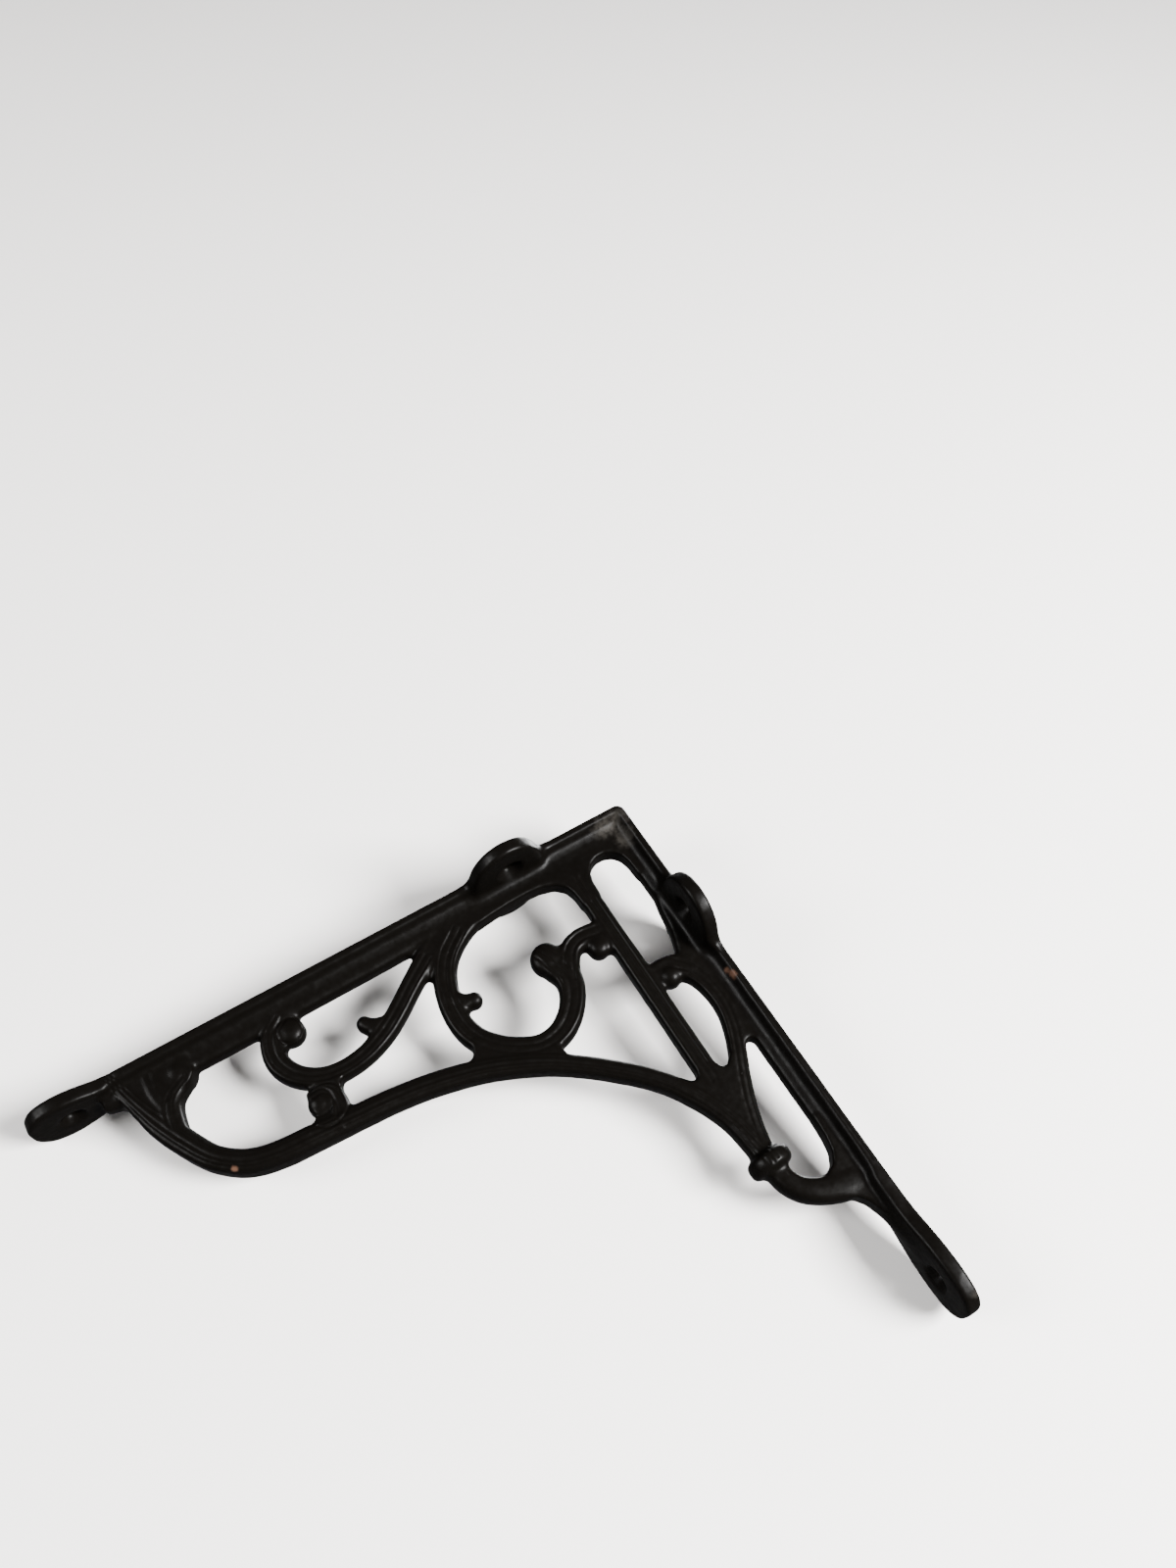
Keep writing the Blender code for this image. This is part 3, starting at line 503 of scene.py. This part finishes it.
def web(name, outline, half):
    """A flat piece between the scrolls, extruded from its outline to both faces."""
    deselect_all()
    bpy.ops.mesh.primitive_circle_add(vertices=len(outline), radius=1.0, fill_type="NGON")
    plate = into_pattern(bpy.context.active_object)
    plate.name = name
    for corner, (along, below) in zip(plate.data.vertices, outline):
        corner.co = place(along, below, -half)
    bpy.ops.object.mode_set(mode="EDIT")
    bpy.ops.mesh.select_all(action="SELECT")
    bpy.ops.mesh.extrude_region_move(TRANSFORM_OT_translate={"value": (0.0, 2 * half * METRES, 0.0)})
    bpy.ops.mesh.select_all(action="SELECT")
    bpy.ops.mesh.normals_make_consistent(inside=False)
    bpy.ops.object.mode_set(mode="OBJECT")


def arm_section(width, edge, rib, depth):
    """Half of an arm's section as (out, depth): flange edge, hollow cove, rib with a swollen foot."""
    half = in_mm("rib_half")
    flat = width - ARRIS - FLAT_INSET
    full = [(half + out, edge + past) for out, past in COVE]
    full += [(half + out, min(max(depth - short, edge + past), depth - least))
             for out, short, past, least in FLANK]
    full += [(half + out, depth - short) for out, short in CROWN]
    plain = [(flat * share, edge) for share in PAD_SHARES]
    outer = [(width - ARRIS, 0.0), (width, ARRIS), (width, edge - ARRIS), (flat, edge)]
    inner = [(a * rib + c * (1 - rib), b * rib + d * (1 - rib)) for (a, b), (c, d) in zip(full, plain)]
    return outer + inner


def arm_plan(tongue):
    """The plan of a whole arm from its tip to the corner, closely sampled."""
    return smooth_through(tongue + EARS, RING_STEP)


def drill(item, at, turn):
    """Bores one screw hole and its countersink through a pad."""
    hole, sink, pad = in_mm("hole_radius"), in_mm("sink_radius"), in_mm("pad_thick")
    deselect_all()
    bpy.ops.mesh.primitive_cylinder_add(
        vertices=DRILL_SIDES, radius=hole * METRES, depth=DRILL_LONG * METRES, location=at, rotation=turn)
    bore = bpy.context.active_object
    tip = hole / 2
    mouth = sink + CUT_PAST
    deep = mouth - tip
    direction = bore.rotation_euler.to_matrix() @ Vector((0, 0, 1))
    bpy.ops.mesh.primitive_cone_add(
        vertices=DRILL_SIDES, radius1=tip * METRES, radius2=mouth * METRES, depth=deep * METRES,
        location=at + direction * (pad + CUT_PAST - deep / 2) * METRES, rotation=turn)
    cone = bpy.context.active_object
    for tool in (bore, cone):
        choose(item)
        step = item.modifiers.new("drill", "BOOLEAN")
        step.operation = "DIFFERENCE"
        step.solver = "EXACT"
        step.object = tool
        bpy.ops.object.modifier_apply(modifier="drill")
        bpy.data.objects.remove(tool, do_unlink=True)


def corner_ring(on_shelf, on_wall, angle):
    """One section across the corner. What lies deeper than the corner's rounding stays where the two
    arms' sections meet, and the rest turns round the middle of the rounding."""
    r = in_mm("corner_round")
    ring = []
    for (w, a), (_, b) in zip(on_shelf, on_wall):
        if a >= r:
            ring.append((b, a, w))
        else:
            reach = r - a
            ring.append((r - reach * math.sin(angle), r - reach * math.cos(angle), w))
    return ring


class MakeArms(bpy.types.Operator):
    """Models the shelf arm and the wall arm with their tongues and ears, turned round the corner"""

    bl_idname = "bracket.make_arms"
    bl_label = "Arms, tongues and ears"

    def execute(self, context):
        edge, flange = in_mm("flange_edge"), in_mm("flange_half")
        shelf_rib, wall_rib = in_mm("shelf_rib"), in_mm("wall_rib")
        rings = []
        for along, width, thick, rib in arm_plan(SHELF_TONGUE):
            rings.append([(along, d, w) for w, d in arm_section(width, thick, rib, shelf_rib)])
        on_shelf = arm_section(flange, edge, 1.0, shelf_rib)
        on_wall = arm_section(flange, edge, 1.0, wall_rib)
        for turn in range(CORNER_STEPS + 1):
            rings.append(corner_ring(on_shelf, on_wall, math.radians(90 * turn / CORNER_STEPS)))
        for below, width, thick, rib in reversed(arm_plan(WALL_TONGUE)):
            rings.append([(d, below, w) for w, d in arm_section(width, thick, rib, wall_rib)])
        full = []
        for ring in rings:
            both = ring + [(u, v, -w) for u, v, w in reversed(ring)]
            full.append([place(u, v, w) for u, v, w in both])
        arms = loft("arms", full)
        down = (math.pi, 0.0, 0.0)
        inward = (0.0, math.pi / 2, 0.0)
        drill(arms, place(HOLE_ALONG, 0.0), down)
        drill(arms, place(0.0, HOLE_BELOW), inward)
        for side in (-EAR_HOLE_OUT, EAR_HOLE_OUT):
            drill(arms, place(EAR_PLACE, 0.0, side), down)
            drill(arms, place(0.0, EAR_PLACE, side), inward)
        return {"FINISHED"}


class MakeBraceAndRail(bpy.types.Operator):
    """Models the curved brace, its tip leaf and the straight inner rail"""

    bl_idname = "bracket.make_brace"
    bl_label = "Brace and rail"

    def execute(self, context):
        strand("brace", OUTER_BAR, STEPPED)
        strand("tip_curl", TIP_CURL, STEPPED)
        strand("tip_stem", TIP_STEM)
        strand("brace_curl", BRACE_CURL)
        strand("rail", RAIL, RAILED)
        return {"FINISHED"}


class MakeScrolls(bpy.types.Operator):
    """Models the scrolls, their spurs and the tail under the collar"""

    bl_idname = "bracket.make_scrolls"
    bl_label = "Scrolls"

    def execute(self, context):
        strands = (
            ("long_scroll", LONG_SCROLL), ("big_scroll", BIG_SCROLL), ("rail_leaf", RAIL_LEAF),
            ("side_scroll", SIDE_SCROLL), ("side_swell", SIDE_SWELL), ("tail", TAIL),
            ("tail_ridge", TAIL_RIDGE), ("long_spur", LONG_SPUR), ("big_spur", BIG_SPUR))
        for name, points in strands:
            strand(name, points, PLAIN if name in CROWNED else FLUTED)
        return {"FINISHED"}


class MakeKnobs(bpy.types.Operator):
    """Models the balls and rounded ends, and the collar where the scrolls meet"""

    bl_idname = "bracket.make_knobs"
    bl_label = "Balls and collar"

    def execute(self, context):
        for name, (along, below, radius, half) in KNOBS.items():
            knob(name, along, below, radius, half)
        deselect_all()
        bpy.ops.mesh.primitive_cylinder_add(
            vertices=COLLAR_SIDES, radius=in_mm("collar_radius") * METRES, depth=COLLAR_THICK * METRES,
            location=place(*COLLAR_PLACE))
        collar = into_pattern(bpy.context.active_object)
        collar.name = "collar"
        apply_place(collar)
        choose(collar)
        rounding = collar.modifiers.new("rounding", "BEVEL")
        rounding.width = COLLAR_ROUND * METRES
        rounding.segments = ROUND_STEPS
        bpy.ops.object.modifier_apply(modifier="rounding")
        return {"FINISHED"}


class MakeWebs(bpy.types.Operator):
    """Models the flat webs that fill the crotches between the scrolls"""

    bl_idname = "bracket.make_webs"
    bl_label = "Webs"

    def execute(self, context):
        for name, outline, more in WEBS:
            web(name, outline, in_mm("web_half") + more)
        return {"FINISHED"}


def fuse(item, grain):
    """Makes one skin round all that overlaps."""
    skin = item.modifiers.new("fuse", "REMESH")
    skin.mode = "VOXEL"
    skin.voxel_size = grain
    skin.use_smooth_shade = True
    bpy.ops.object.modifier_apply(modifier="fuse")


def soften(item, passes):
    step = item.modifiers.new("soften", "SMOOTH")
    step.factor = SMOOTH_FACTOR
    step.iterations = passes
    bpy.ops.object.modifier_apply(modifier="soften")


def swell(item, distance):
    """Moves the skin outwards, or inwards where the distance is negative. Out and back again with a
    new skin in between leaves a fillet in every inner corner."""
    step = item.modifiers.new("swell", "DISPLACE")
    step.mid_level = 0.0
    step.strength = distance
    bpy.ops.object.modifier_apply(modifier="swell")


def line_depth(off):
    """How deep a line is at a distance from its middle: 1 in the middle, 0 past its edges."""
    return max(0.0, 1 - abs(off) / LINE_HALF)


def engrave(item):
    """Cuts fine lines along the faces of the strands, at set shares of their width, and creases round
    the rounded ends."""
    depth = bpy.context.scene.bracket_sizes.groove
    samples = []
    for points, lines in ENGRAVED:
        line = smooth_through(points, LINE_STEP)
        for k in range(1, len(line) - 1):
            run = Vector((line[k + 1][0] - line[k - 1][0], line[k + 1][1] - line[k - 1][1])).normalized()
            samples.append((line[k], run, lines))
    tree = KDTree(len(samples))
    for number, (at, _, _) in enumerate(samples):
        tree.insert((at[0], at[1], 0.0), number)
    tree.balance()
    for corner in item.data.vertices:
        along, below = corner.co.x / METRES, SHELF_FACE - corner.co.z / METRES
        if along > CREASE_FROM:
            for x, y, radius in CREASES:
                cut = line_depth(math.hypot(along - x, below - y) - radius) * CREASE_SHARE
                if abs(corner.co.y) > CREASE_OUT * METRES:
                    corner.co.y -= math.copysign(cut * depth, corner.co.y)
        _, number, distance = tree.find((along, below, 0.0))
        (x, y, width, half), run, lines = samples[number]
        if distance > width / 2 or abs(corner.co.y) / METRES < half * LINE_FROM:
            continue
        across = (below - y) * run.x - (along - x) * run.y
        cut = sum(line_depth(across - share * width / 2) for share in lines)
        corner.co.y -= math.copysign(min(cut, 1.0) * depth, corner.co.y)


def roughen(item):
    """Leaves the faint waviness of a sand casting in the surface."""
    lumps = bpy.data.textures.new("sand_lumps", "CLOUDS")
    lumps.noise_scale = LUMP_SIZE * METRES
    lumps.noise_depth = LUMP_DEPTH
    step = item.modifiers.new("roughen", "DISPLACE")
    step.texture = lumps
    step.texture_coords = "LOCAL"
    step.mid_level = 0.5
    step.strength = bpy.context.scene.bracket_sizes.waviness
    bpy.ops.object.modifier_apply(modifier="roughen")


def flatten_seats(item):
    """Keeps the two faces that bear on wall and shelf flat."""
    for corner in item.data.vertices:
        corner.co.x = max(corner.co.x, 0.0)
        corner.co.z = min(corner.co.z, SHELF_FACE * METRES)


class CastBracket(bpy.types.Operator):
    """Casts the forms as one piece: joins them, softens edges and corners, and paints the piece"""

    bl_idname = "bracket.cast"
    bl_label = "Cast in one piece"

    def execute(self, context):
        forms = list(pattern_collection().objects)
        if not forms:
            raise RuntimeError("there are no forms to cast: make the arms, scrolls and webs first")
        deselect_all()
        for form in forms:
            form.select_set(True)
        context.view_layer.objects.active = forms[0]
        bpy.ops.object.join()
        casting = context.active_object
        casting.name = "casting"
        casting.data.name = "casting"
        choose(casting)
        sizes = context.scene.bracket_sizes
        fuse(casting, sizes.grain)
        soften(casting, KNIT)
        swell(casting, sizes.fillet)
        fuse(casting, sizes.grain)
        soften(casting, KNIT)
        swell(casting, sizes.skin - sizes.fillet)
        fuse(casting, sizes.grain)
        soften(casting, sizes.softening)
        engrave(casting)
        roughen(casting)
        flatten_seats(casting)
        thin = casting.modifiers.new("thin", "DECIMATE")
        quads = len(casting.data.polygons)
        thin.ratio = min(1.0, MOST_TRIANGLES / (2 * quads))
        bpy.ops.object.modifier_apply(modifier="thin")
        bpy.ops.object.shade_smooth()
        casting.data.materials.clear()
        casting.data.materials.append(satin_black_paint())
        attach(casting, "root")
        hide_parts("bracket")
        return {"FINISHED"}


def add_node(tree, kind, settings=None, inputs=None):
    """Adds a node with its settings. Its inputs are plain values, or sockets of other nodes to link."""
    node = tree.nodes.new(kind)
    for key, value in (settings or {}).items():
        setattr(node, key, value)
    for key, value in (inputs or {}).items():
        if isinstance(value, bpy.types.NodeSocket):
            tree.links.new(value, node.inputs[key])
        else:
            node.inputs[key].default_value = value
    return node


def new_material(name):
    """A material with an empty tree and its output node."""
    material = bpy.data.materials.new(name)
    material.use_nodes = True
    material.node_tree.nodes.clear()
    output = material.node_tree.nodes.new("ShaderNodeOutputMaterial")
    return material, material.node_tree, output


def patch(tree, where, at, reach, ragged):
    """A mask that is 1 round a place and fades out, with a ragged edge, at a distance in mm."""
    away = add_node(tree, "ShaderNodeVectorMath", {"operation": "DISTANCE"}, {0: where, 1: at})
    near = add_node(tree, "ShaderNodeMapRange", {}, {
        "Value": away.outputs["Value"], "From Max": reach * METRES, "To Min": 1.0, "To Max": 0.0})
    both = add_node(tree, "ShaderNodeMath", {"operation": "MULTIPLY"}, {
        0: near.outputs["Result"], 1: ragged})
    mask = add_node(tree, "ShaderNodeMapRange", {"interpolation_type": "SMOOTHSTEP"}, {
        "Value": both.outputs["Value"], "From Min": PATCH_FADE[0], "From Max": PATCH_FADE[1]})
    return mask.outputs["Result"]


# Sockets of a mix node's colours, by number because their names repeat
MIX_FACTOR, MIX_A, MIX_B = 0, 6, 7
MIX_RESULT = 2


def tinted(tree, colour, tint, mask, share):
    """Lays a tint over a colour where a mask is 1, so far as the share says."""
    amount = add_node(tree, "ShaderNodeMath", {"operation": "MULTIPLY"}, {0: mask, 1: share})
    mix = add_node(tree, "ShaderNodeMix", {"data_type": "RGBA"}, {
        MIX_FACTOR: amount.outputs["Value"], MIX_A: colour, MIX_B: tint})
    return mix.outputs[MIX_RESULT]


def satin_black_paint():
    """Satin black enamel over cast iron: the sand mould's grain shows softly through the paint. Grey
    patches lay a painted highlight in the corner's cove and a grey tint at the wall tongue's end;
    brownish ones lay a painted reflection on the brace's lower edge and rusted paint on the wall arm."""
    colours = bpy.context.scene.bracket_colours
    paint_colour, rust_and_reflection, dust_and_highlight = ([*tone, 1.0] for tone in (colours.paint, colours.rust_and_reflection, colours.dust_and_highlight))
    material, tree, output = new_material("satin_black_paint")
    where = add_node(tree, "ShaderNodeTexCoord").outputs["Object"]
    grain = add_node(tree, "ShaderNodeTexNoise", {}, {
        "Vector": where, "Scale": 1 / (GRAIN_SIZE * METRES), "Detail": GRAIN_DETAIL})
    patch_lumps = add_node(tree, "ShaderNodeTexNoise", {}, {
        "Vector": where, "Scale": 1 / (PATCH_LUMP_SIZE * METRES), "Detail": PATCH_LUMP_DETAIL})
    ragged = patch_lumps.outputs["Fac"]
    colour = paint_colour
    # Grey patches are a painted highlight in the corner's cove; brownish ones a painted reflection on the
    # brace and rusted paint on the wall arm
    for tone, share, places in ((dust_and_highlight, DUST_AND_HIGHLIGHT_SHARE, DUST_AND_HIGHLIGHT_PATCHES), (rust_and_reflection, RUST_AND_REFLECTION_SHARE, RUST_AND_REFLECTION_PATCHES)):
        for along, below, out, reach in places:
            mask = patch(tree, where, place(along, below, out), reach, ragged)
            colour = tinted(tree, colour, tone, mask, share)
    gloss = add_node(tree, "ShaderNodeMapRange", {}, {
        "Value": ragged, "From Min": NOISE_SPAN[0], "From Max": NOISE_SPAN[1],
        "To Min": ROUGHNESS[0], "To Max": ROUGHNESS[1]})
    bump = add_node(tree, "ShaderNodeBump", {}, {
        "Height": grain.outputs["Fac"], "Strength": GRAIN_SHARE, "Distance": GRAIN_HEIGHT * METRES})
    paint = add_node(tree, "ShaderNodeBsdfPrincipled", {}, {
        "Base Color": colour, "Roughness": gloss.outputs["Result"], "IOR": REFRACTION,
        "Specular IOR Level": SHEEN, "Normal": bump.outputs["Normal"]})
    tree.links.new(paint.outputs["BSDF"], output.inputs["Surface"])
    return material


def matt_floor_paint():
    """Matt white paint on the floor. It shows from its front only, so that the bracket can be seen
    from behind."""
    material, tree, output = new_material("matt_floor_paint")
    paint = add_node(tree, "ShaderNodeBsdfPrincipled", {}, {
        "Base Color": linear(FLOOR_COLOUR), "Roughness": FLOOR_ROUGHNESS})
    clear = add_node(tree, "ShaderNodeBsdfTransparent")
    side = add_node(tree, "ShaderNodeNewGeometry")
    mix = add_node(tree, "ShaderNodeMixShader", {}, {0: side.outputs["Backfacing"]})
    tree.links.new(paint.outputs["BSDF"], mix.inputs[1])
    tree.links.new(clear.outputs["BSDF"], mix.inputs[2])
    tree.links.new(mix.outputs["Shader"], output.inputs["Surface"])
    return material


def pale_backdrop():
    """Even pale glow past the floor's edges and in views from behind."""
    material, tree, output = new_material("pale_backdrop")
    glow = add_node(tree, "ShaderNodeEmission", {}, {
        "Color": linear(BACKDROP_COLOUR), "Strength": GLOW})
    tree.links.new(glow.outputs["Emission"], output.inputs["Surface"])
    return material


def softbox(name, direction, distance, size, power):
    """A square area light that looks at the middle of the bracket from a direction."""
    light = bpy.data.lights.new(name, "AREA")
    light.shape = "SQUARE"
    light.size = size
    light.energy = power
    lamp = bpy.data.objects.new(name, light)
    bpy.context.scene.collection.objects.link(lamp)
    back = direction.normalized()
    lamp.location = place(*AIM) + back * distance
    lamp.rotation_euler = back.to_track_quat("Z", "Y").to_euler()


class MakeStage(bpy.types.Operator):
    """Sets up the pale floor, the soft lights and the camera at the photograph's place"""

    bl_idname = "bracket.make_stage"
    bl_label = "Floor, lights and camera"

    def execute(self, context):
        scene = context.scene
        rests = [place(EAR_PLACE, EAR_REST, -EAR_REACH), place(EAR_REST, EAR_PLACE, -EAR_REACH),
                 place(*TONGUE_REST)]
        normal = (rests[1] - rests[0]).cross(rests[2] - rests[0]).normalized()
        if normal.y < 0:
            normal = -normal
        deselect_all()
        bpy.ops.mesh.primitive_plane_add(
            size=FLOOR_SIZE * METRES, location=rests[0] - normal * FLOOR_GAP * METRES,
            rotation=normal.to_track_quat("Z", "Y").to_euler())
        floor = context.active_object
        floor.name = "floor"
        floor.data.materials.append(matt_floor_paint())
        floor.visible_glossy = False
        floor.visible_shadow = False

        world = bpy.data.worlds.new("studio")
        scene.world = world
        world.use_nodes = True
        sky = world.node_tree.nodes["Background"]
        sky.inputs["Color"].default_value = linear(SKY_COLOUR)
        sky.inputs["Strength"].default_value = SKY
        deselect_all()
        bpy.ops.mesh.primitive_uv_sphere_add(
            segments=BACKDROP_SIDES, ring_count=BACKDROP_SIDES // 2, radius=BACKDROP_RADIUS * METRES)
        backdrop = context.active_object
        backdrop.name = "backdrop"
        backdrop.data.materials.append(pale_backdrop())
        for ray in ("visible_diffuse", "visible_glossy", "visible_transmission", "visible_shadow"):
            setattr(backdrop, ray, False)

        for light in LIGHTS:
            softbox(*light)

        shot = bpy.data.cameras.new("camera")
        shot.sensor_fit = "AUTO"
        shot.sensor_width = SENSOR
        shot.lens = LENS_PIXELS * SENSOR / PHOTO_HIGH
        shot.clip_start = CLIP_START
        camera = bpy.data.objects.new("camera", shot)
        scene.collection.objects.link(camera)
        turn = Matrix((CAMERA_RIGHT, CAMERA_UP, CAMERA_BACK)).transposed().to_4x4()
        camera.matrix_world = Matrix.Translation(CAMERA_AT) @ turn
        scene.camera = camera
        return {"FINISHED"}


STEPS = (MakeArms, MakeBraceAndRail, MakeScrolls, MakeKnobs, MakeWebs, CastBracket, MakeStage)


class BracketPanel(bpy.types.Panel):
    """Lists the steps that make the bracket"""

    bl_idname = "VIEW3D_PT_bracket"
    bl_label = "Cast iron bracket"
    bl_space_type = "VIEW_3D"
    bl_region_type = "UI"
    bl_category = "Bracket"

    def draw(self, context):
        for step in STEPS:
            self.layout.operator(step.bl_idname)
        for group in (context.scene.bracket_sizes, context.scene.bracket_colours):
            for name in group.__annotations__:
                self.layout.prop(group, name)


CLASSES = (CastingSizes, PaintColours, *STEPS, BracketPanel)


def register():
    for kind in CLASSES:
        bpy.utils.register_class(kind)
    bpy.types.Scene.bracket_sizes = PointerProperty(type=CastingSizes)
    bpy.types.Scene.bracket_colours = PointerProperty(type=PaintColours)


def unregister():
    del bpy.types.Scene.bracket_colours
    del bpy.types.Scene.bracket_sizes
    for kind in reversed(CLASSES):
        bpy.utils.unregister_class(kind)


def main():
    register()
    for step in STEPS:
        group, operator = step.bl_idname.split(".")
        getattr(getattr(bpy.ops, group), operator)()


if __name__ == "__main__":
    main()
